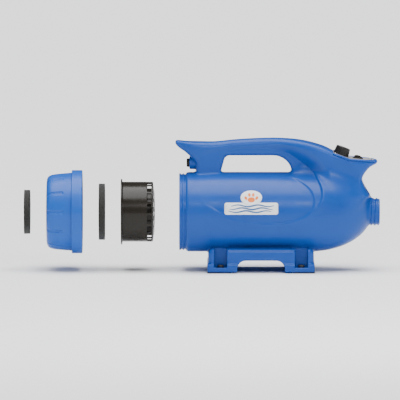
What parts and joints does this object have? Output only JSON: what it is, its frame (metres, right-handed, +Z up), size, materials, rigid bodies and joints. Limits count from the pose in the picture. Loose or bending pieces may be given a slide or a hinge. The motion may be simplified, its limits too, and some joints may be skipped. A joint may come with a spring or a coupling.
{
  "type": "pet dryer",
  "caption": "Portable forced-air pet dryer: barrel with top handle, speed knob and switch, foot plinth, threaded outlet, and intake cap, foam filters and basket drawn off in line.",
  "frame": {"origin": "centre of the four foot bolt holes, on the plane that the rubber feet stand on", "axes": "+X along the air axis towards the outlet, +Z up, the intake parts drawn off along -X"},
  "size_m": [0.7116, 0.1664, 0.2655],
  "materials": {
    "blue_plastic": "satin",
    "label_film": "gloss",
    "black_plastic": "gloss",
    "knob_plastic": "satin",
    "white_ink": "matt",
    "grey_plastic": "satin",
    "foam": "matt",
    "grey_foam": "matt",
    "rubber": "matt",
    "zinc_steel": "bright",
    "cast_aluminium": "cast",
    "lamination_steel": "laminated",
    "copper": "enamelled wire",
    "brass": "plain",
    "carbon": "matt",
    "board_green": "satin",
    "component_blue": "gloss",
    "cable_black": "satin"
  },
  "bodies": {
    "housing": {"housing_barrel": "blue_plastic", "handle_shell": "blue_plastic", "base_plinth": "blue_plastic", "side_labels": "label_film", "basket_seat": "black_plastic", "rubber_feet": "rubber", "foot_grommets": "rubber", "cable_gland": "black_plastic", "control_panel": "grey_plastic", "panel_screws": "zinc_steel", "switch_frame": "black_plastic", "potentiometer": "zinc_steel", "potentiometer_nut": "zinc_steel", "switch_leads": "cable_black", "control_board": "board_green", "heat_sink": "cast_aluminium", "suppression_capacitor": "component_blue", "terminal_block": "component_blue", "fan_case": "zinc_steel", "diffuser_plate": "zinc_steel", "motor_bracket": "cast_aluminium", "motor_end_bracket": "cast_aluminium", "stator_core": "lamination_steel", "field_coils": "copper", "carbon_brushes": "carbon", "brush_holders": "brass", "front_bearing_race": "zinc_steel", "rear_bearing_race": "zinc_steel", "front_bearing_balls": "zinc_steel", "rear_bearing_balls": "zinc_steel", "motor_gasket": "rubber", "motor_rear_mount": "rubber", "sound_liner": "grey_foam", "supply_lead": "cable_black", "motor_leads": "cable_black"},
    "rotor": {"motor_shaft": "zinc_steel", "fan_nut": "zinc_steel", "first_impeller": "cast_aluminium", "second_impeller": "cast_aluminium", "armature_core": "lamination_steel", "armature_windings": "copper", "commutator": "copper", "front_bearing_hub": "zinc_steel", "rear_bearing_hub": "zinc_steel"},
    "cap": {"intake_cap": "blue_plastic", "cap_seal": "rubber"},
    "basket": {"filter_basket": "black_plastic"},
    "inner_foam": {"inner_filter": "foam"},
    "outer_foam": {"outer_filter": "foam"},
    "knob": {"speed_knob": "knob_plastic", "knob_pointer": "white_ink", "potentiometer_shaft": "zinc_steel"},
    "rocker": {"power_rocker": "black_plastic"}
  },
  "joints": [
    {"name": "cap_slide", "type": "slide", "parent": "housing", "child": "cap", "axis": [1, 0, 0], "range_m": [0, 0.2059]},
    {"name": "basket_slide", "type": "slide", "parent": "housing", "child": "basket", "axis": [1, 0, 0], "range_m": [0, 0.1167]},
    {"name": "inner_filter_slide", "type": "slide", "parent": "housing", "child": "inner_foam", "axis": [1, 0, 0], "range_m": [0, 0.1613]},
    {"name": "outer_filter_slide", "type": "slide", "parent": "housing", "child": "outer_foam", "axis": [1, 0, 0], "range_m": [0, 0.2529]},
    {"name": "knob_turn", "type": "hinge", "parent": "housing", "child": "knob", "pos_m": [0.1602, 0, 0.23243], "axis": [0.3511, 0, 0.9363], "range_deg": [-270, 0]},
    {"name": "rocker_tilt", "type": "hinge", "parent": "housing", "child": "rocker", "pos_m": [0.19392, 0, 0.22477], "axis": [0, 1, 0], "range_deg": [-18, 0]},
    {"name": "rotor_spin", "type": "hinge", "parent": "housing", "child": "rotor", "pos_m": [0, 0, 0.117], "axis": [1, 0, 0], "continuous": true}
  ],
  "couplings": [
    {"joint": "basket_slide", "follows": "cap_slide", "ratio": 0.56629},
    {"joint": "inner_filter_slide", "follows": "cap_slide", "ratio": 0.7829},
    {"joint": "outer_filter_slide", "follows": "cap_slide", "ratio": 1.2278}
  ]
}
